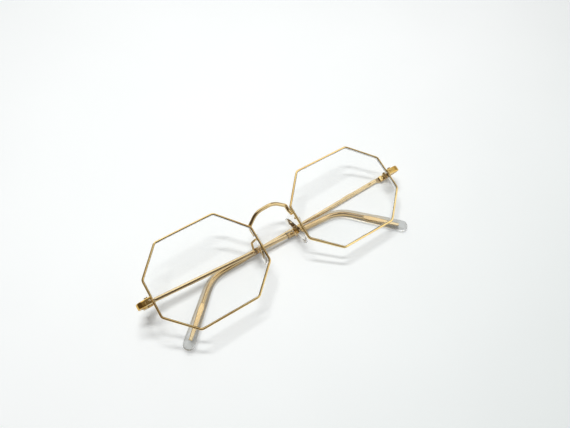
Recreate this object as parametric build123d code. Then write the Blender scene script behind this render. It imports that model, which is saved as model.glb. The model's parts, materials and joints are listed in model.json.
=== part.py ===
from build123d import *
import os
from math import cos, hypot, radians, sin, sqrt

os.makedirs("parts", exist_ok=True)

# Octagonal wire eyeglasses, folded and lying on their temples, front up.
# All pieces are first made in the glasses' own frame: X across the front, Y up the face,
# Z out of the front, origin midway between the rims on the lenses' centre line.
# Right is +X. Lengths are millimetres, angles are degrees.

# Rim wire and the octagon of its centre line, nasal side inwards
rim_width = 50.0
rim_height = 41.0
bridge_gap = 20.3
top_nasal = 13.5
top_temporal = 13.9
bottom_nasal = 13.1
bottom_temporal = 13.5
nasal_up = 7.2
nasal_down = 9.3
temporal_up = 8.7
temporal_down = 8.4
corner_radius = 2.2
wire_width = 1.0
wire_depth = 1.5
wire_round = 0.45
rim_slit = 0.2

# Lens
lens_thickness = 1.8
lens_radius = 265.0
lens_gap = 0.1
bevel_reach = 0.35
bevel_half = 0.35

# Closing block that clamps the lens, in two halves
lock_length = 2.4
lock_height = 2.8
lock_depth = 2.2
lock_round = 0.4
lock_embed = 0.3
relief_radius = 0.45
relief_inset = 0.55
lock_screw_inset = 1.55
lock_screw_radius = 0.5
lock_head_radius = 0.75
lock_head_height = 0.45
screw_play = 0.02
slot_width = 0.25
slot_depth = 0.2

# End piece: a strap from the closing block round the corner and back to the hinge
strap_height = 2.8
strap_thickness = 1.4
strap_round = 0.5
strap_reach = 3.95
strap_bend = 1.9
solder_gap = 0.15
leg_rise = 1.0
leg_stop = 1.0

# Hinge of three knuckles
pin_depth = 10.5
pin_radius = 0.6
pin_play = 0.04
pin_head_radius = 0.95
pin_head_height = 0.4
knuckle_radius = 1.05
knuckle_gap = 0.3
knuckle_slip = 0.06
leaf_thickness = 0.6
leaf_length = 3.1

# Temple: flat butt, round bar, thinner core inside the clear tip, flat blade at the end
butt_thickness = 1.3
butt_stop = 0.9
butt_length = 3.2
blend_length = 2.0
bar_radius = 1.0
bar_rise = 0.5
temple_to_bend = 98.0
bend_to_end = 33.5
bend_angle = 42.6
bend_inwards = 11.0
bend_radius = 16.0
core_radius = 0.88
blade_length = 17.0
blade_height = 2.4
blade_end_height = 1.5
blade_thickness = 0.8
blade_inset = 4.2
sleeve_start = 70.0
mouth_gap = 0.1
sleeve_mouth_height = 3.0
sleeve_mouth_thickness = 2.6
sleeve_bend_height = 3.7
sleeve_bend_thickness = 2.9
sleeve_end_height = 5.3
sleeve_end_thickness = 2.8
oval_round_share = 0.42
sleeve_steps = 26
end_turns = (18, 34, 48, 60, 71, 80, 86)

# How each temple lies when folded: fall below level, and lean away from the front
right_drop = 1.5
left_drop = 2.7
right_lean = 2.9
left_lean = 0.3

# Arched bridge wire with short legs down behind the rims
bridge_radius = 0.85
arch_top = 12.1
arch_top_half = 4.4
arch_forward = 0.9
arch_corner_radius = 8.0
turn_half = 9.6
turn_height = 8.8
turn_back = 1.8
turn_radius = 1.5
knee_half = 9.75
knee_height = 6.2
knee_back = 2.7
knee_radius = 2.5
foot_height = 4.2
foot_inset = 0.25
bridge_lean = 2.5

# Nose pad, its carrier, box and screw, in the pad's own frame: X from nose to lens, Y along it
pad_half = 9.2
pad_drop = 2.2
pad_back = 7.6
pad_tilt = 11.0
pad_length = 14.6
pad_width = 7.0
pad_thickness = 2.2
pad_round = 0.9
carrier_plate = 0.4
carrier_plate_length = 3.2
carrier_plate_width = 2.6
carrier_cover = 0.5
stem_width = 1.3
stem_height = 1.3
box_gap = 0.45
box_wall = 0.45
box_play = 0.1
box_height = 2.2
box_depth = 1.6
pad_screw_radius = 0.35
pad_head_radius = 0.6
pad_head_height = 0.35

# Pad arm: a bent wire from the back of the rim to the box
arm_radius = 0.5
arm_start_height = 2.2
arm_straight = 1.8
arm_loop_out = 2.2
arm_loop_height = 1.9
arm_loop_back = 4.6
arm_knee_out = 2.5
arm_knee_height = -0.4
arm_knee_back = 6.6
arm_bend_radius = 0.9

# Rest on the table: the front leans, with its top edge higher
rest_pitch = 11.5
rest_roll = 3.5

# Worked-out places
rim_centre = (bridge_gap + rim_width) / 2
rim_inner = wire_width / 2
rim_side = rim_centre + rim_width / 2 + rim_inner
lock_side = rim_side + lock_length
leg_x = lock_side + strap_reach - strap_thickness / 2
pin_inset = knuckle_radius + knuckle_gap
pin_x = leg_x - strap_thickness / 2 - pin_inset
hinge_height = strap_height
tiny = wire_round / 100
overrun = lock_height


def block(x, y, z):
    """Box between two values on each axis."""
    size = (x[1] - x[0], y[1] - y[0], z[1] - z[0])
    middle = ((x[0] + x[1]) / 2, (y[0] + y[1]) / 2, (z[0] + z[1]) / 2)
    return Pos(*middle) * Box(*size)


def rod(radius, y):
    """Round bar along Y between two heights, on the axis of the origin."""
    return Pos(0, (y[0] + y[1]) / 2, 0) * Rot(90, 0, 0) * Cylinder(radius, y[1] - y[0])


def slotted_screw(radius, head_radius, head_height, low, high):
    """Screw along Y with a slotted head on top."""
    head = rod(head_radius, (high, high + head_height))
    slot_x = (-slot_width / 2, slot_width / 2)
    slot_y = (high + head_height - slot_depth, high + overrun)
    slot = block(slot_x, slot_y, (-head_radius - slot_width, head_radius + slot_width))
    return rod(radius, (low, high)) + head - slot


# Rims and lenses, made about the lens centre with the nasal side at -X
def octagon(grow):
    """The octagon of the wire's centre line, moved outwards by grow."""
    points = [
        (-top_nasal, rim_height / 2),
        (top_temporal, rim_height / 2),
        (rim_width / 2, temporal_up),
        (rim_width / 2, -temporal_down),
        (bottom_temporal, -rim_height / 2),
        (-bottom_nasal, -rim_height / 2),
        (-rim_width / 2, -nasal_down),
        (-rim_width / 2, nasal_up),
    ]
    face = make_face(Polyline(*points, close=True))
    return offset(fillet(face.vertices(), corner_radius), grow)


def wire_ring():
    """The closed rim wire before its groove and slit are cut."""
    flat_ring = octagon(rim_inner) - octagon(-rim_inner)
    ring = extrude(flat_ring, wire_depth / 2, both=True)
    rims = ring.edges().filter_by(lambda e: abs(abs(e.center().Z) - wire_depth / 2) < tiny)
    return fillet(rims, wire_round)


def lens_bevel():
    """The pointed edge of the lens, which sits in the wire's groove."""
    widest = octagon(bevel_reach - rim_inner)
    narrow = octagon(-rim_inner - lens_gap)
    front = loft([widest, Pos(0, 0, bevel_half) * narrow], ruled=True)
    return front + mirror(front, about=Plane.XY)


def sag(distance):
    """How far the lens face falls back at a distance from its centre."""
    return lens_radius - sqrt(lens_radius**2 - distance**2)


def lens():
    corner = hypot(rim_width / 2, (nasal_down + temporal_down) / 2)
    crown = lens_thickness / 2 + (sag(rim_height / 2) + sag(corner)) / 2
    slab = extrude(octagon(-rim_inner - lens_gap), lens_thickness + crown, both=True)
    front = Pos(0, 0, crown - lens_radius) * Sphere(lens_radius)
    back = Pos(0, 0, crown - lens_thickness - lens_radius) * Sphere(lens_radius)
    return (slab & front) - back + lens_bevel()


def rim():
    slit_x = (rim_width / 2 - wire_width, rim_width / 2 + wire_width)
    slit = block(slit_x, (-rim_slit / 2, rim_slit / 2), (-wire_depth, wire_depth))
    return wire_ring() - lens_bevel() - slit


# Closing block, made in the glasses' frame on the right
def closing_block(half):
    """One half of the block, +1 upper or -1 lower, fitted round the rim wire."""
    height = (-lock_height / 2, lock_height / 2)
    depth = (-lock_depth / 2, lock_depth / 2)
    body = block((rim_side - lock_embed, lock_side), height, depth)
    body = fillet(body.edges().filter_by(Axis.X), lock_round)
    relief = Pos(rim_side + relief_inset, 0, 0) * Cylinder(relief_radius, lock_depth * 2)
    bore = rod(lock_screw_radius + screw_play, (-lock_height, lock_height))
    body = body - relief - Pos(rim_side + lock_screw_inset, 0, 0) * bore
    body = body - Pos(rim_centre, 0, 0) * wire_ring()
    reach = (rim_side - overrun, lock_side + overrun)
    keep_y = sorted((half * rim_slit / 2, half * lock_height))
    return body & block(reach, keep_y, (-lock_depth, lock_depth))


def lock_screw():
    top = lock_height / 2
    screw = slotted_screw(lock_screw_radius, lock_head_radius, lock_head_height, -top, top)
    return Pos(rim_side + lock_screw_inset, 0, 0) * screw


def strap_section(plane):
    return plane * RectangleRounded(strap_height, strap_thickness, strap_round)


def end_piece():
    """Strap soldered to the upper half of the block, round the corner and back to the hinge."""
    corner = leg_x - strap_bend
    turn = strap_bend * sin(radians(45))
    start = Vector(lock_side, 0, 0)
    bend_start = Vector(corner, 0, 0)
    bend_end = Vector(leg_x, 0, -strap_bend)
    bend_middle = Vector(corner + turn, 0, turn - strap_bend)
    straight = Edge.make_line(start, bend_start)
    path = Wire([straight, Edge.make_three_point_arc(bend_start, bend_middle, bend_end)])
    front = sweep(strap_section(Plane(start, x_dir=(0, 1, 0), z_dir=(1, 0, 0))), path=path)
    low = Plane(bend_end, x_dir=(0, 1, 0), z_dir=(0, 0, -1))
    high = Plane((leg_x, leg_rise, leg_stop - pin_depth), x_dir=(0, 1, 0), z_dir=(0, 0, -1))
    leg = loft([strap_section(low), strap_section(high)], ruled=True)
    clear_x = (lock_side - overrun, lock_side + solder_gap)
    lower = block(clear_x, (-lock_height, rim_slit / 2), (-lock_depth, lock_depth))
    return front + leg - lower


# Hinge, made about its pin: X outboard, Y up the pin, Z to the front
def knuckle_span(number):
    """Low and high end of one of the three knuckles, counted from the bottom."""
    pitch = (hinge_height + knuckle_slip) / 3
    low = number * pitch - hinge_height / 2
    return (low, low + pitch - knuckle_slip)


def hinge_leaf(toward, numbers, bore_radius):
    """Leaf with its knuckles, running +1 to the front or -1 back along the temple."""
    plate_z = sorted((toward * pin_inset, toward * leaf_length))
    plate_x = (pin_inset - leaf_thickness, pin_inset)
    leaf = block(plate_x, (-hinge_height / 2, hinge_height / 2), plate_z)
    finger_x = (knuckle_radius - leaf_thickness, knuckle_radius)
    finger_z = sorted((0, toward * (pin_inset + leaf_thickness)))
    for number in numbers:
        span = knuckle_span(number)
        leaf = leaf + rod(knuckle_radius, span) + block(finger_x, span, finger_z)
    return leaf - rod(bore_radius, (-hinge_height, hinge_height))


def hinge_screw():
    half = hinge_height / 2
    return slotted_screw(pin_radius, pin_head_radius, pin_head_height, -half, half)


# Temple, made open about the hinge pin, running back along -Z
def temple_route(drop):
    """Centre line of the bar and core from the end of the butt to the end of the tip."""
    away = Vector(0, -sin(radians(drop)), -cos(radians(drop)))
    down = Vector(0, -cos(radians(drop)), sin(radians(drop)))
    inwards = Vector(-1, 0, 0)
    start = Vector(pin_inset + butt_thickness / 2, bar_rise, -butt_length - blend_length)
    bend = start + away * (temple_to_bend - butt_length - blend_length)
    turned = away * cos(radians(bend_angle)) + down * sin(radians(bend_angle))
    hook = turned * cos(radians(bend_inwards)) + inwards * sin(radians(bend_inwards))
    return FilletPolyline(start, bend, bend + hook * bend_to_end, radius=bend_radius)


def station(route, distance):
    """Plane across the route at a distance from its start: X is thickness, Y is height."""
    place = route.position_at(distance, position_mode=PositionMode.LENGTH)
    along = route.tangent_at(distance, position_mode=PositionMode.LENGTH)
    up = Vector(1, 0, 0).cross(along)
    return Plane(place, x_dir=up.cross(along) * -1, z_dir=along)


def oval(route, distance, thickness, height):
    """Flat oval section across the route."""
    corner = min(thickness, height) * oval_round_share
    return station(route, distance) * RectangleRounded(thickness, height, corner)


def temple(drop):
    """Butt, bar, core and end blade of one temple, all one piece of metal."""
    route = temple_route(drop)
    middle = pin_inset + butt_thickness / 2
    butt_plane = Plane((middle, 0, butt_stop), x_dir=(0, 1, 0), z_dir=(0, 0, -1))
    butt_face = butt_plane * RectangleRounded(strap_height, butt_thickness, strap_round)
    butt = extrude(butt_face, butt_stop + butt_length, dir=(0, 0, -1))
    square = bar_radius * 2
    blend_end = station(route, 0) * RectangleRounded(square, square, bar_radius - tiny)
    butt_end = Plane((middle, 0, -butt_length), x_dir=(1, 0, 0), z_dir=(0, 0, -1))
    blend_start = butt_end * RectangleRounded(butt_thickness, strap_height, strap_round)
    blend = loft([blend_start, blend_end])
    bar_length = sleeve_start - butt_length - blend_length
    bar = extrude(station(route, 0) * Circle(bar_radius), bar_length)
    core_start = bar_length
    core_end = route.length - blade_inset - blade_length
    core_route = route.trim(core_start / route.length, core_end / route.length)
    core = sweep(station(route, core_start) * Circle(core_radius), path=core_route)
    wide = oval(route, core_end, blade_thickness, core_radius * 2)
    flat = oval(route, core_end + blade_height, blade_thickness, blade_height)
    end = oval(route, core_end + blade_length, blade_thickness, blade_end_height)
    blade = loft([wide, flat], ruled=True) + loft([flat, end], ruled=True)
    return butt + blend + bar + core + blade


def temple_tip(drop, metal):
    """Clear sleeve over the core, widening to a rounded paddle."""
    route = temple_route(drop)
    start = sleeve_start + mouth_gap - butt_length - blend_length
    length = route.length - start
    end_radius = sleeve_end_height / 2
    bend_at = (temple_to_bend - sleeve_start) / length
    straight = length - end_radius
    sections = []
    for step in range(sleeve_steps + 1):
        share = step / sleeve_steps
        if share < bend_at:
            mix = share / bend_at
            height = sleeve_mouth_height + (sleeve_bend_height - sleeve_mouth_height) * mix
            thickness = sleeve_mouth_thickness + (sleeve_bend_thickness - sleeve_mouth_thickness) * mix
        else:
            mix = (share - bend_at) / (1 - bend_at)
            height = sleeve_bend_height + (sleeve_end_height - sleeve_bend_height) * mix
            thickness = sleeve_bend_thickness + (sleeve_end_thickness - sleeve_bend_thickness) * mix
        sections.append(oval(route, start + straight * share, thickness, height))
    for turn in end_turns:
        height = sleeve_end_height * cos(radians(turn))
        thickness = sleeve_end_thickness * sqrt(cos(radians(turn)))
        place = start + straight + end_radius * sin(radians(turn))
        sections.append(oval(route, place, thickness, height))
    return loft(sections, ruled=True) - metal


# Bridge, made in the glasses' frame
def bridge():
    """One bent wire: a shallow arch leaning forwards, with legs that turn down behind the rims."""
    foot_half = bridge_gap / 2 - foot_inset
    foot_back = wire_depth / 2 + bridge_radius
    right = [
        Vector(arch_top_half, arch_top, arch_forward),
        Vector(turn_half, turn_height, -turn_back),
        Vector(knee_half, knee_height, -knee_back),
        Vector(foot_half, foot_height, -foot_back),
    ]
    left = [Vector(-point.X, point.Y, point.Z) for point in reversed(right)]
    corners = [knee_radius, turn_radius, arch_corner_radius]
    path = FilletPolyline(*left, *right, radius=corners + corners[::-1])
    start = Plane(path @ 0, z_dir=path % 0)
    return sweep(start * Circle(bridge_radius), path=path, transition=Transition.ROUND)


# Nose pads, made about the pad's centre: X from nose to lens, Y along the pad, Z to the front
def pad_screw_x():
    return pad_thickness / 2 + box_gap + (box_depth - box_wall) / 2


def pad_carrier():
    """Metal plate inside the pad with a stem that stands out of its back."""
    plate_x = (pad_thickness / 2 - carrier_cover - carrier_plate, pad_thickness / 2 - carrier_cover)
    plate_y = (-carrier_plate_length / 2, carrier_plate_length / 2)
    plate = block(plate_x, plate_y, (-carrier_plate_width / 2, carrier_plate_width / 2))
    stem_y = (-stem_height / 2, stem_height / 2)
    stem = block((plate_x[1], pad_screw_x()), stem_y, (-stem_width / 2, stem_width / 2))
    nose = Pos(pad_screw_x(), 0, 0) * Cylinder(stem_height / 2, stem_width)
    bore = Pos(pad_screw_x(), 0, 0) * Cylinder(pad_screw_radius + pin_play, stem_width * 2)
    return plate + stem + nose - bore


def nose_pad():
    """Clear oval pad moulded over its carrier."""
    outline = Plane.YZ * Ellipse(pad_length / 2, pad_width / 2)
    pad = extrude(outline, pad_thickness / 2, both=True)
    pad = fillet(pad.edges().filter_by(GeomType.ELLIPSE), pad_round)
    return pad - pad_carrier()


def box_outside():
    """The pad box as a solid block, before it is hollowed."""
    low = pad_thickness / 2 + box_gap
    half = stem_width / 2 + box_play + box_wall
    box_x = (low, low + box_depth + box_wall)
    return block(box_x, (-box_height / 2, box_height / 2), (-half, half))


def pad_box():
    """Small open box that holds the stem between two cheeks."""
    low = pad_thickness / 2 + box_gap
    half = stem_width / 2 + box_play
    hollow = block((low - box_gap, low + box_depth), (-box_height, box_height), (-half, half))
    bore = Pos(pad_screw_x(), 0, 0) * Cylinder(pad_screw_radius + screw_play, half * 4)
    return box_outside() - hollow - bore


def pad_screw():
    """Screw across the box along Z."""
    half = stem_width / 2 + box_play + box_wall
    shank = Pos(pad_screw_x(), 0, 0) * Cylinder(pad_screw_radius, half * 2)
    head = Pos(pad_screw_x(), 0, half + pad_head_height / 2) * Cylinder(pad_head_radius, pad_head_height)
    slot_y = (-slot_width / 2, slot_width / 2)
    slot_x = (pad_screw_x() - pad_head_radius * 2, pad_screw_x() + pad_head_radius * 2)
    slot = block(slot_x, slot_y, (half + pad_head_height - slot_depth, half + pad_head_height * 2))
    return shank + head - slot


def pad_place():
    """Where the right nose pad sits in the glasses' frame."""
    return Pos(pad_half, -pad_drop, -pad_back) * Rot(0, 0, pad_tilt)


def pad_arm():
    """Bent wire from the back of the right rim, looping out and down to the pad's box."""
    half_gap = bridge_gap / 2
    back_wall = pad_thickness / 2 + box_gap + box_depth + box_wall / 2
    end = pad_place() * Pos(back_wall, 0, 0)
    points = [
        Vector(half_gap, arm_start_height, -wire_depth / 2),
        Vector(half_gap, arm_start_height, -wire_depth / 2 - arm_straight),
        Vector(half_gap + arm_loop_out, arm_loop_height, -arm_loop_back),
        Vector(half_gap + arm_knee_out, arm_knee_height, -arm_knee_back),
        end.position,
    ]
    path = FilletPolyline(*points, radius=arm_bend_radius)
    start = Plane(path @ 0, z_dir=path % 0)
    wire = sweep(start * Circle(arm_radius), path=path, transition=Transition.ROUND)
    return wire - pad_place() * box_outside()


# The whole pair, node by node
def right_side(drop, lean):
    """Every piece of the right side in the glasses' frame, by name."""
    lens_place = Pos(rim_centre, 0, 0)
    hinge_place = Pos(pin_x, leg_rise, -pin_depth)
    folded = hinge_place * Rot(0, 90 - lean, 0)
    metal = temple(drop)
    return {
        "rim": lens_place * rim(),
        "lens": lens_place * lens(),
        "rim_lock_upper": closing_block(1),
        "rim_lock_lower": closing_block(-1),
        "rim_lock_screw": lock_screw(),
        "end_piece": end_piece(),
        "front_hinge_leaf": hinge_place * hinge_leaf(1, (0, 2), pin_radius + screw_play),
        "hinge_screw": hinge_place * hinge_screw(),
        "temple_hinge_leaf": folded * hinge_leaf(-1, (1,), pin_radius + pin_play),
        "temple": folded * metal,
        "temple_tip": folded * temple_tip(drop, metal),
        "pad_arm": pad_arm(),
        "pad_box": pad_place() * pad_box(),
        "pad_screw": pad_place() * pad_screw(),
        "pad_carrier": pad_place() * pad_carrier(),
        "nose_pad": pad_place() * nose_pad(),
    }


nodes = {"bridge": Rot(0, 0, bridge_lean) * bridge()}
for name, piece in right_side(right_drop, right_lean).items():
    nodes["right_" + name] = piece
for name, piece in right_side(left_drop, left_lean).items():
    nodes["left_" + name] = mirror(piece, about=Plane.YZ)

# Lay the pair on the table: lean it, then stand its box on the origin
lean_back = Rot(rest_pitch, rest_roll, 0)
whole = Compound([lean_back * piece for piece in nodes.values()]).bounding_box()
rest = Pos(-whole.center().X, -whole.center().Y, -whole.min.Z) * lean_back
for name, piece in nodes.items():
    export_step(rest * piece, f"parts/{name}.step")

for side, sign in (("right", 1), ("left", -1)):
    pin = rest * Pos(sign * pin_x, leg_rise, -pin_depth)
    hinge_axis = lean_back * Pos(0, 1, 0)
    print(side, "temple pin", pin.position, "axis", hinge_axis.position)
    pad = Pos(sign * pad_half, -pad_drop, -pad_back) * Rot(0, 0, sign * pad_tilt)
    pad_pin = rest * pad * Pos(sign * pad_screw_x(), 0, 0)
    print(side, "pad pin", pad_pin.position, "axis", (lean_back * Pos(0, 0, 1)).position)
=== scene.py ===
import bpy
import json
from math import radians
from mathutils import Matrix, Vector


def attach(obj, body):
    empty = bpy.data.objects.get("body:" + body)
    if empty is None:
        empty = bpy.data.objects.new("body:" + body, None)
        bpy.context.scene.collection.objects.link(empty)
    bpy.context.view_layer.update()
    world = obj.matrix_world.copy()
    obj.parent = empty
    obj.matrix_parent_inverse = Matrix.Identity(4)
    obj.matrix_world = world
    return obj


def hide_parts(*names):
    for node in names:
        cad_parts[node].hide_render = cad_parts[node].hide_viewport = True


# Octagonal wire eyeglasses, folded on a pale table.
# Scene lengths are metres. The glasses' own sizes are millimetres, times MM where they are used.

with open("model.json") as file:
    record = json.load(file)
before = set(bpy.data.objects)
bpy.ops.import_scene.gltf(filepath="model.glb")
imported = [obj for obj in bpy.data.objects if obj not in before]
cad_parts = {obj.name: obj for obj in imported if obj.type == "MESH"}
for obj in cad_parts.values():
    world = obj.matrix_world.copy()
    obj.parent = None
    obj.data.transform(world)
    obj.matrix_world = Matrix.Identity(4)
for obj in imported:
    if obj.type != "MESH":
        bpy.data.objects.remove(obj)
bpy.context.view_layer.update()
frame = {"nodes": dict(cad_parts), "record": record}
nodes = frame["nodes"]
MM = 0.001
SIDES = {"right": 1, "left": -1}

# How the folded pair lies: the glasses' own frame (X across, Y up the face, Z out of the lenses)
REST_PITCH = 11.5
REST_ROLL = 3.5
REST_PLACE = (0.346, 1.611, 16.819)
LEAN = Matrix.Rotation(radians(REST_PITCH), 4, "X") @ Matrix.Rotation(radians(REST_ROLL), 4, "Y")
REST = Matrix.Translation(Vector(REST_PLACE) * MM) @ LEAN


# Shader building blocks
def opaque(red, green, blue):
    return (red, green, blue, 1.0)


def grey(level):
    return opaque(level, level, level)


def new_material(name):
    """A new material with its node tree and its shader."""
    material = bpy.data.materials.new(name)
    material.use_nodes = True
    tree = material.node_tree
    return material, tree, tree.nodes["Principled BSDF"]


def feed(tree, socket, value):
    """Links a socket to another node's output, or sets it to a plain value."""
    if isinstance(value, bpy.types.NodeSocket):
        tree.links.new(value, socket)
    else:
        socket.default_value = value


def maths(tree, operation, *values):
    node = tree.nodes.new("ShaderNodeMath")
    node.operation = operation
    for socket, value in zip(node.inputs, values):
        feed(tree, socket, value)
    return node.outputs["Value"]


def mixed(tree, share, low, high, blend="MIX"):
    """A colour from low to high, or their product with the blend MULTIPLY."""
    node = tree.nodes.new("ShaderNodeMix")
    node.data_type = "RGBA"
    node.blend_type = blend
    for name, value in (("Factor", share), ("A", low), ("B", high)):
        feed(tree, node.inputs[name], value)
    return node.outputs["Result"]


def split(tree, vector):
    """The X, Y and Z of a vector."""
    node = tree.nodes.new("ShaderNodeSeparateXYZ")
    tree.links.new(vector, node.inputs["Vector"])
    return node.outputs["X"], node.outputs["Y"], node.outputs["Z"]


def object_noise(tree, scale, detail, roughness=0.55, stretch=(1.0, 1.0, 1.0)):
    """Noise that keeps its place on the object."""
    place = tree.nodes.new("ShaderNodeTexCoord")
    mapping = tree.nodes.new("ShaderNodeMapping")
    mapping.inputs["Scale"].default_value = stretch
    noise = tree.nodes.new("ShaderNodeTexNoise")
    noise.inputs["Scale"].default_value = scale
    noise.inputs["Detail"].default_value = detail
    noise.inputs["Roughness"].default_value = roughness
    tree.links.new(place.outputs["Object"], mapping.inputs["Vector"])
    tree.links.new(mapping.outputs["Vector"], noise.inputs["Vector"])
    return noise.outputs["Fac"]


def ramp(tree, source, low, high, start, end):
    """A colour that goes from low to high as the source goes from start to end."""
    node = tree.nodes.new("ShaderNodeValToRGB")
    for element, position, colour in zip(node.color_ramp.elements, (start, end), (low, high)):
        element.position = position
        element.color = colour
    tree.links.new(source, node.inputs["Fac"])
    return node.outputs["Color"]


def bump(tree, shader, height, strength, distance):
    """Lets a pattern stand out of the surface."""
    node = tree.nodes.new("ShaderNodeBump")
    node.inputs["Strength"].default_value = strength
    node.inputs["Distance"].default_value = distance
    tree.links.new(height, node.inputs["Height"])
    tree.links.new(node.outputs["Normal"], shader.inputs["Normal"])


def as_seen(tree, unseen, seen):
    """One strength for what lights the scene, another for what the eye, metal and clear pieces see."""
    path = tree.nodes.new("ShaderNodeLightPath")
    shown = path.outputs["Is Camera Ray"]
    for kind in ("Is Glossy Ray", "Is Transmission Ray"):
        shown = maths(tree, "MAXIMUM", shown, path.outputs[kind])
    level = tree.nodes.new("ShaderNodeMapRange")
    level.inputs["To Min"].default_value = unseen
    level.inputs["To Max"].default_value = seen
    tree.links.new(shown, level.inputs["Value"])
    return level.outputs["Result"]


# Finishes of the glasses
def plated_gold(name, pale, deep, polish, haze):
    """Thin bright plating: slow colour drift, fine polishing haze and faint marks along X."""
    material, tree, shader = new_material(name)
    shader.inputs["Metallic"].default_value = 1.0
    drift = object_noise(tree, scale=55.0, detail=4.0)
    tint = ramp(tree, drift, deep, pale, start=0.32, end=0.66)
    tree.links.new(tint, shader.inputs["Base Color"])
    rub = object_noise(tree, scale=900.0, detail=3.0, roughness=0.6, stretch=(1.0, 0.45, 0.45))
    gloss = ramp(tree, rub, grey(polish), grey(haze), start=0.35, end=0.75)
    tree.links.new(gloss, shader.inputs["Roughness"])
    marks = object_noise(tree, scale=2600.0, detail=2.0, roughness=0.5, stretch=(0.2, 1.0, 1.0))
    bump(tree, shader, marks, strength=0.06, distance=0.00003)
    return material


def clear_moulding(name, colour, ior, polish, haze, ripple, shadow, deep=None):
    """Clear moulded plastic with faint flow ripples and a little handling haze."""
    material, tree, shader = new_material(name)
    shader.inputs["Transmission Weight"].default_value = 1.0
    shader.inputs["IOR"].default_value = ior
    dense_share = 0.985
    dense = opaque(*(level * dense_share for level in colour[:3]))
    shade = ramp(tree, object_noise(tree, scale=120.0, detail=2.0), dense, colour, start=0.3, end=0.7)
    if deep is not None:
        # painted reflection: the stretch that is fitted over the wire is tinted warmer than the bare end,
        # standing in for the gold wire seen through the plastic
        along = tree.nodes.new("ShaderNodeUVMap")
        along.uv_map = "along"
        reach = split(tree, along.outputs["UV"])[0]
        core_reflection_share = ramp(tree, reach, grey(0.0), grey(1.0), start=0.1, end=0.2)
        shade = mixed(tree, core_reflection_share, shade, deep)
    tree.links.new(shade, shader.inputs["Base Color"])
    smear = object_noise(tree, scale=420.0, detail=3.0)
    gloss = ramp(tree, smear, grey(polish), grey(haze), start=0.4, end=0.8)
    tree.links.new(gloss, shader.inputs["Roughness"])
    bump(tree, shader, object_noise(tree, scale=260.0, detail=2.0), strength=ripple, distance=0.0001)
    # lamps shine on through it, so that its shadow stays as faint as a clear piece's
    path = tree.nodes.new("ShaderNodeLightPath")
    passing = maths(tree, "MAXIMUM", path.outputs["Is Shadow Ray"], path.outputs["Is Diffuse Ray"])
    through = tree.nodes.new("ShaderNodeBsdfTransparent")
    through.inputs["Color"].default_value = shadow
    either = tree.nodes.new("ShaderNodeMixShader")
    sources = (passing, shader.outputs["BSDF"], through.outputs["BSDF"])
    for socket, source in zip(either.inputs, sources):
        tree.links.new(source, socket)
    tree.links.new(either.outputs["Shader"], tree.nodes["Material Output"].inputs["Surface"])
    return material


# Each plating: its name, its pale and its deep colour, and its roughness where polished and where hazy
RIM_PALE = opaque(0.88, 0.68, 0.31)
RIM_DEEP = opaque(0.69, 0.46, 0.19)
PLATINGS = {
    "rim_metal": ("rim_gold", RIM_PALE, RIM_DEEP, 0.05, 0.11),
    "bridge_metal": ("bridge_gold", opaque(0.76, 0.59, 0.31), opaque(0.56, 0.41, 0.2), 0.05, 0.11),
    "temple_metal": ("temple_gold", opaque(0.77, 0.61, 0.36), opaque(0.6, 0.46, 0.26), 0.03, 0.08),
    "strap_metal": ("strap_gold", opaque(0.8, 0.52, 0.14), opaque(0.58, 0.35, 0.09), 0.08, 0.16),
    "block_metal": ("block_gold", opaque(0.8, 0.56, 0.2), opaque(0.6, 0.39, 0.12), 0.09, 0.17),
    "hinge_metal": ("hinge_gold", RIM_PALE, RIM_DEEP, 0.14, 0.24),
    "arm_metal": ("pad_arm_gold", RIM_PALE, RIM_DEEP, 0.1, 0.18),
    "screw_metal": ("screw_gold", opaque(0.72, 0.55, 0.32), opaque(0.5, 0.37, 0.21), 0.16, 0.28),
}
finishes = {slot: plated_gold(*plating) for slot, plating in PLATINGS.items()}
finishes["lens_clear"] = clear_moulding(
    "lens_clear",
    opaque(0.995, 1.0, 0.998),
    ior=1.2,
    polish=0.0,
    haze=0.015,
    ripple=0.0,
    shadow=grey(0.99),
)
finishes["tip_clear"] = clear_moulding(
    "tip_clear_plastic",
    opaque(0.9, 0.915, 0.9),
    ior=1.55,
    polish=0.01,
    haze=0.04,
    ripple=0.03,
    shadow=grey(0.72),
    # painted reflection of the gold wire inside, as a warm tint on the stretch over it
    deep=opaque(0.9, 0.82, 0.68),
)
finishes["pad_clear"] = clear_moulding(
    "pad_clear_silicone",
    opaque(0.98, 0.965, 0.93),
    ior=1.25,
    polish=0.02,
    haze=0.07,
    ripple=0.08,
    shadow=grey(0.8),
)
slot_of = {part["node"]: part["material_slot"] for part in frame["record"]["subparts"]}
for name, node in nodes.items():
    node.data.materials.clear()
    node.data.materials.append(finishes[slot_of[name]])


# Modelling steps that repeat
def start_clean():
    """Object mode with nothing selected."""
    if bpy.context.mode != "OBJECT":
        bpy.ops.object.mode_set(mode="OBJECT")
    bpy.ops.object.select_all(action="DESELECT")


def only(obj):
    """Selects one object and makes it the active one."""
    start_clean()
    obj.select_set(True)
    bpy.context.view_layer.objects.active = obj


def edit_all():
    """Edit mode with the whole mesh selected."""
    bpy.ops.object.mode_set(mode="EDIT")
    bpy.ops.mesh.select_all(action="SELECT")


def pick_faces(obj, keep):
    """Selects faces by place or normal, from edit mode and back."""
    bpy.ops.mesh.select_all(action="DESELECT")
    bpy.ops.object.mode_set(mode="OBJECT")
    for face in obj.data.polygons:
        face.select = bool(keep(face))
    bpy.ops.object.mode_set(mode="EDIT")


def fix_place():
    """Moves the active object's place, turn and scale into its mesh."""
    bpy.ops.object.transform_apply(location=True, rotation=True, scale=True)


def finish_piece(obj, name, finish, body):
    """Names the piece, fixes its place in its mesh and gives it its finish and body."""
    only(obj)
    fix_place()
    obj.name = name
    obj.data.name = name
    obj.data.materials.clear()
    obj.data.materials.append(finishes[finish])
    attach(obj, body)


# A face counts as looking along an axis when its normal reaches this far along it
FACING = 0.9

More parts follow.
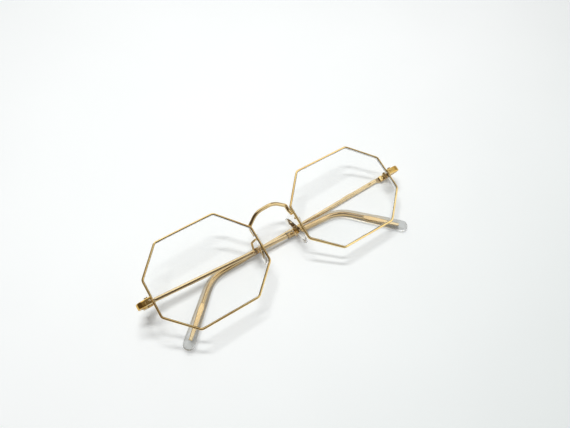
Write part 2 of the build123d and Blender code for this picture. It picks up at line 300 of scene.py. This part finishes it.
# Nose pad: place of the right one in the glasses' own frame, turn about Z in degrees, and size
PAD_HALF, PAD_DROP, PAD_BACK, PAD_TILT = 9.2, 2.2, 7.6, 11.0
PAD_LENGTH, PAD_WIDTH, PAD_THICK = 14.6, 7.0, 2.2
PAD_SEGMENTS = 56
PAD_FACE_INSETS = (0.9, 1.0)
PAD_BACK_INSET = 0.8
PAD_ROUNDING = 2

# Rim of the pad: from this share of its reach, squared, it is drawn in to these shares of the pad's height
PAD_EDGE_SHARE = 0.98
PAD_EDGE_LOW_SHARE, PAD_EDGE_HIGH_SHARE = 0.3, 0.62

# Turns the pad, made lying down with its face along Z, to look along -X at the nose
TO_THE_NOSE = Matrix(((0, 0, -1, 0), (0, 1, 0, 0), (1, 0, 0, 0), (0, 0, 0, 1)))


def nose_pad(side):
    """Soft clear oval: flat back, domed face to the nose, rolled rim."""
    start_clean()
    bpy.ops.mesh.primitive_circle_add(vertices=PAD_SEGMENTS, radius=PAD_LENGTH * MM / 2, fill_type="NGON")
    pad = bpy.context.object
    edit_all()
    bpy.ops.transform.resize(value=(PAD_WIDTH / PAD_LENGTH, 1, 1))
    bpy.ops.transform.translate(value=(0, 0, -PAD_THICK * MM / 2))
    bpy.ops.mesh.extrude_region_move(TRANSFORM_OT_translate={"value": (0, 0, PAD_THICK * MM)})
    for inset in PAD_FACE_INSETS:
        bpy.ops.mesh.inset(thickness=inset * MM, depth=0)
    bpy.ops.mesh.select_all(action="SELECT")
    bpy.ops.mesh.normals_make_consistent(inside=False)
    pick_faces(pad, lambda face: face.normal.z < -FACING)
    bpy.ops.mesh.inset(thickness=PAD_BACK_INSET * MM, depth=0)
    bpy.ops.object.mode_set(mode="OBJECT")
    low = min(v.co.z for v in pad.data.vertices)
    high = max(v.co.z for v in pad.data.vertices)
    for v in pad.data.vertices:
        out = (v.co.x / (PAD_WIDTH * MM / 2)) ** 2 + (v.co.y / (PAD_LENGTH * MM / 2)) ** 2
        if out > PAD_EDGE_SHARE:
            share = PAD_EDGE_LOW_SHARE if v.co.z < 0 else PAD_EDGE_HIGH_SHARE
            v.co.z = low + (high - low) * share
    rounding = pad.modifiers.new("rounding", "SUBSURF")
    rounding.levels = rounding.render_levels = PAD_ROUNDING
    only(pad)
    bpy.ops.object.modifier_apply(modifier="rounding")
    bpy.ops.object.shade_smooth()
    seat = Matrix.Translation(Vector((PAD_HALF, -PAD_DROP, -PAD_BACK)) * MM)
    local = seat @ Matrix.Rotation(radians(PAD_TILT), 4, "Z") @ TO_THE_NOSE
    flip = Matrix.Diagonal((SIDES[side], 1, 1, 1))
    pad.matrix_world = REST @ flip @ local
    only(pad)
    fix_place()
    edit_all()
    bpy.ops.mesh.normals_make_consistent(inside=False)
    bpy.ops.object.mode_set(mode="OBJECT")
    finish_piece(pad, side + "_pad_silicone", "pad_clear", side + "_pad")
    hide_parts(side + "_nose_pad")


# Temple tip: how near two points are one, depth of its mouth's rim, length at which U is 1, and crease angle
TIP_MERGE = 0.002
TIP_MOUTH = 0.4
TIP_REACH = 60
TIP_CREASE = 50


def clear_tip(side):
    """The tip as one clear moulding: its own outside, without the bore that the wire fills."""
    sign = SIDES[side]
    only(nodes[side + "_temple_tip"])
    bpy.ops.object.duplicate()
    tip = bpy.context.object
    edit_all()
    bpy.ops.mesh.remove_doubles(threshold=TIP_MERGE * MM)
    bpy.ops.object.mode_set(mode="OBJECT")
    mouth = max(v.co.x * sign for v in tip.data.vertices) - TIP_MOUTH * MM
    bpy.ops.object.mode_set(mode="EDIT")
    pick_faces(tip, lambda face: face.normal.x * sign > FACING and face.center.x * sign > mouth)
    bpy.ops.mesh.delete(type="FACE")
    bpy.ops.mesh.select_all(action="SELECT")
    bpy.ops.mesh.separate(type="LOOSE")
    bpy.ops.object.mode_set(mode="OBJECT")
    shells = sorted(bpy.context.selected_objects, key=lambda shell: shell.dimensions.z)
    for bore in shells[:-1]:
        only(bore)
        bpy.ops.object.delete()
    tip = shells[-1]
    only(tip)
    edit_all()
    bpy.ops.mesh.fill_holes(sides=0)
    bpy.ops.mesh.normals_make_consistent(inside=False)
    bpy.ops.object.mode_set(mode="OBJECT")
    bpy.ops.object.shade_smooth_by_angle(angle=radians(TIP_CREASE))
    # U is the distance from the far end of the moulding, 0 there and about 1 at the mouth
    end = min((v.co.copy() for v in tip.data.vertices), key=lambda point: point.x * sign)
    along = tip.data.uv_layers.new(name="along")
    for loop in tip.data.loops:
        reach = (tip.data.vertices[loop.vertex_index].co - end).length
        along.data[loop.index].uv = (reach / (TIP_REACH * MM), 0.5)
    tip.data.uv_layers.active = along
    finish_piece(tip, side + "_tip_moulding", "tip_clear", side + "_temple")
    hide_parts(side + "_temple_tip")


for side in SIDES:
    nose_pad(side)
    clear_tip(side)

# Table: a pale sheet with painted shade that darkens it towards its near right corner
TABLE_SIZE = 4.0
SHEET_DIM = opaque(0.85, 0.875, 0.875)
SHEET_CLEAN = opaque(0.88, 0.905, 0.905)
SHEET_PAINTED_SHADE = opaque(0.86, 0.885, 0.875)
PAINTED_SHADE_DIRECTION = 70
PAINTED_SHADE_REACH = 0.16
SHEET_GLOW = opaque(0.985, 1.0, 0.99)
SHEET_GLOW_STRENGTH = 0.15


def table_paper():
    """Matt paper with a slow fibre tint, and painted shade towards its near right corner."""
    material, tree, shader = new_material("table_paper")
    fibre = object_noise(tree, scale=9.0, detail=3.0)
    shade = ramp(tree, fibre, SHEET_DIM, SHEET_CLEAN, start=0.3, end=0.7)
    # painted shade: the colour is darkened towards the near right corner, standing in for the light falling
    # off there
    place = tree.nodes.new("ShaderNodeTexCoord")
    turn = tree.nodes.new("ShaderNodeMapping")
    turn.inputs["Rotation"].default_value = (0, 0, radians(PAINTED_SHADE_DIRECTION))
    tree.links.new(place.outputs["Object"], turn.inputs["Vector"])
    distance = split(tree, turn.outputs["Vector"])[0]
    painted_shade = ramp(tree, distance, grey(1.0), SHEET_PAINTED_SHADE, start=0.0, end=PAINTED_SHADE_REACH)
    tree.links.new(mixed(tree, 1.0, shade, painted_shade, "MULTIPLY"), shader.inputs["Base Color"])
    shader.inputs["Roughness"].default_value = 0.6
    shader.inputs["Specular IOR Level"].default_value = 0.1
    # the last step to near white is the background's own, for the eye, metal and clear pieces
    shader.inputs["Emission Color"].default_value = SHEET_GLOW
    tree.links.new(as_seen(tree, 0.0, SHEET_GLOW_STRENGTH), shader.inputs["Emission Strength"])
    return material


start_clean()
bpy.ops.mesh.primitive_plane_add(size=TABLE_SIZE, location=(0, 0, 0))
table = bpy.context.object
table.name = "table"
table.data.materials.append(table_paper())

# Room: a bright ceiling strip, dim to its left and past its right edge, over a pale backdrop.
# Its places are directions from the table: east, north and up, each from -1 to 1.
STRIP_LEFT = (-0.16, 0.18)
STRIP_SLANT = 0.32
STRIP_RIGHT = (0.46, 0.66)
STRIP_NEAR = (-0.24, -0.06)
FAR_RIGHT_SHARE = 0.3
DIM_PATCH = (0.15, -0.26)
DIM_PATCH_SIZE = (0.26, 0.33)
DIM_PATCH_EDGE = (0.75, 1.25)
BACKDROP_TOP = (0.08, 0.16)
ROOM_DARK = opaque(0.11, 0.085, 0.075)
ROOM_BRIGHT = opaque(1.38, 1.39, 1.4)
BACKDROP = opaque(0.68, 0.68, 0.67)
ROOM_FILL = 0.44


def fade(tree, source, start, end, low, high):
    """A number that goes softly from low to high as the source goes from start to end."""
    node = tree.nodes.new("ShaderNodeMapRange")
    node.interpolation_type = "SMOOTHSTEP"
    for name, value in (("From Min", start), ("From Max", end), ("To Min", low), ("To Max", high)):
        node.inputs[name].default_value = value
    tree.links.new(source, node.inputs["Value"])
    return node.outputs["Result"]


def soft_room():
    """The world: what lights the table softly and what the metal and clear pieces mirror."""
    world = bpy.data.worlds.new("soft_room")
    bpy.context.scene.world = world
    world.use_nodes = True
    tree = world.node_tree
    aim = tree.nodes.new("ShaderNodeTexCoord")
    east, north, up = split(tree, aim.outputs["Generated"])
    slant = maths(tree, "ADD", east, maths(tree, "MULTIPLY", north, STRIP_SLANT))
    left_edge = fade(tree, slant, *STRIP_LEFT, 0.0, 1.0)
    # on the near side the strip runs on to the right, and on the far side it only dims there
    near_side = fade(tree, north, *STRIP_NEAR, 1.0, FAR_RIGHT_SHARE)
    right_edge = maths(tree, "MAXIMUM", fade(tree, east, *STRIP_RIGHT, 1.0, 0.0), near_side)
    strip = maths(tree, "MULTIPLY", left_edge, right_edge)
    # a dim oval patch in the strip, over the near side of the table
    offsets = []
    for direction, middle, size in zip((east, north), DIM_PATCH, DIM_PATCH_SIZE):
        offset = maths(tree, "DIVIDE", maths(tree, "SUBTRACT", direction, middle), size)
        offsets.append(maths(tree, "MULTIPLY", offset, offset))
    reach = maths(tree, "SQRT", maths(tree, "ADD", *offsets))
    strip = maths(tree, "MULTIPLY", strip, fade(tree, reach, *DIM_PATCH_EDGE, 0.0, 1.0))
    room = mixed(tree, strip, ROOM_DARK, ROOM_BRIGHT)
    room = mixed(tree, fade(tree, up, *BACKDROP_TOP, 1.0, 0.0), room, BACKDROP)
    background = tree.nodes["Background"]
    tree.links.new(room, background.inputs["Color"])
    tree.links.new(as_seen(tree, ROOM_FILL, 1.0), background.inputs["Strength"])


soft_room()

# Two long soft lamps over the table, parallel to the picture's top edge
ACROSS = Vector((0.854, -0.520, 0.0)).normalized()
BEHIND = Vector((0.522, 0.853, 0.0)).normalized()
LAMP_BACKS = {"lamp_overhead": 0.03, "lamp_behind": 0.17}
LAMP_HEIGHT = 0.55
LAMP_SHIFT = -0.04
LAMP_LENGTH = 0.22
LAMP_WIDTH = 0.03
LAMP_POWER = 1.16


def strip_lamp(name, back):
    """One lamp, a distance behind the table's middle and facing it."""
    light = bpy.data.lights.new(name, "AREA")
    light.shape = "RECTANGLE"
    light.size = LAMP_LENGTH
    light.size_y = LAMP_WIDTH
    light.energy = LAMP_POWER
    lamp = bpy.data.objects.new(name, light)
    bpy.context.collection.objects.link(lamp)
    lamp.visible_glossy = False
    lamp.visible_transmission = False
    place = BEHIND * back + ACROSS * LAMP_SHIFT + Vector((0, 0, LAMP_HEIGHT))
    away = place.normalized()
    narrow = away.cross(ACROSS).normalized()
    wide = narrow.cross(away)
    turn = Matrix((wide, narrow, away)).transposed().to_4x4()
    lamp.matrix_world = Matrix.Translation(place) @ turn


for name, back in LAMP_BACKS.items():
    strip_lamp(name, back)

# Camera, as fitted to the photograph: its place in millimetres and its own axes
CAMERA_PLACE = Vector((-45.97, -77.665, 215.394)) * MM
PICTURE_RIGHT = Vector((0.85285, -0.52214, 0.00331))
PICTURE_DOWN = Vector((-0.46497, -0.76231, -0.45021))
AHEAD = Vector((0.23759, 0.38242, -0.89292))
SENSOR_WIDTH = 36.0
FOCAL_PIXELS = 500
PHOTO_WIDTH_PIXELS = 570
NEAREST_SEEN = 0.01

camera_data = bpy.data.cameras.new("camera")
camera = bpy.data.objects.new("camera", camera_data)
bpy.context.collection.objects.link(camera)
bpy.context.scene.camera = camera
camera_data.sensor_width = SENSOR_WIDTH
camera_data.lens = SENSOR_WIDTH * FOCAL_PIXELS / PHOTO_WIDTH_PIXELS
camera_data.clip_start = NEAREST_SEEN
camera_turn = Matrix((PICTURE_RIGHT, -PICTURE_DOWN, -AHEAD)).transposed().to_4x4()
camera.matrix_world = Matrix.Translation(CAMERA_PLACE) @ camera_turn
bpy.context.scene.view_settings.view_transform = "Standard"
